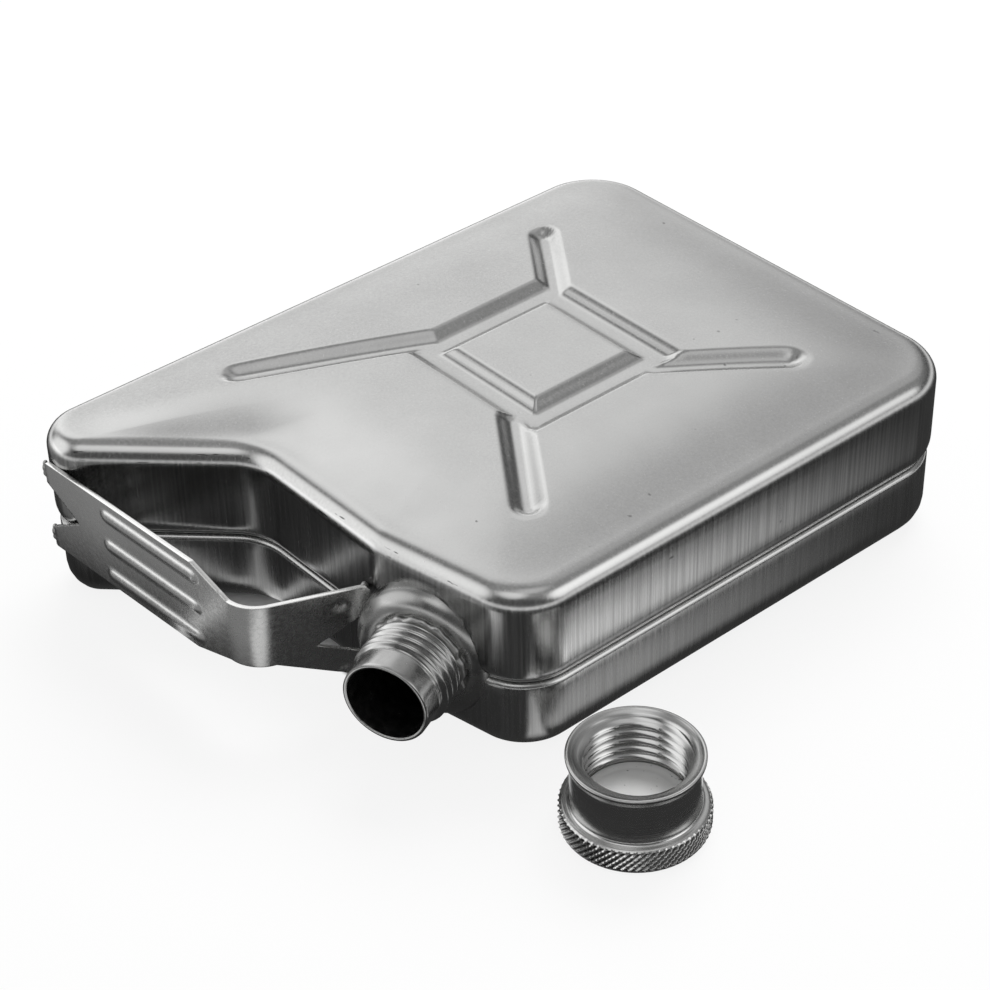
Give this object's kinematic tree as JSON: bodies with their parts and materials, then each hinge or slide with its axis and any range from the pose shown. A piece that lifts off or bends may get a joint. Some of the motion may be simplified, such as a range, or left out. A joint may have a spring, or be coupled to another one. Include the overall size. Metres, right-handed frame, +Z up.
{
  "type": "hip flask",
  "caption": "Stainless steel hip flask shaped like a fuel can, with a welded seam, a cross pressed into its faces, a strap handle, a threaded neck and a knurled screw cap standing beside it.",
  "frame": {"origin": "middle of the raised square that is pressed into the underside and that the flask rests on", "axes": "+X across the flask from the horn's side to the neck's side, +Y from the neck end to the base, +Z up through the flask's thickness"},
  "size_m": [0.12, 0.125, 0.034],
  "materials": {
    "pressed_steel": "satin",
    "neck_steel": "bright turned",
    "strap_steel": "satin with bright edges",
    "weld_steel": "rough weld",
    "cap_steel": "turned and knurled",
    "liner_plastic": "matt"
  },
  "bodies": {
    "flask": {"upper_shell": "pressed_steel", "lower_shell": "pressed_steel", "seam_weld": "weld_steel", "neck_collar": "neck_steel", "neck_tube": "neck_steel", "neck_weld": "weld_steel", "handle_strap": "strap_steel", "handle_welds": "weld_steel"},
    "cap": {"cap": "cap_steel", "cap_liner": "liner_plastic"}
  },
  "joints": [
    {"name": "cap_lift", "type": "slide", "parent": "flask", "child": "cap", "axis": [0, 0, 1], "range_m": [0, 0.06]}
  ]
}
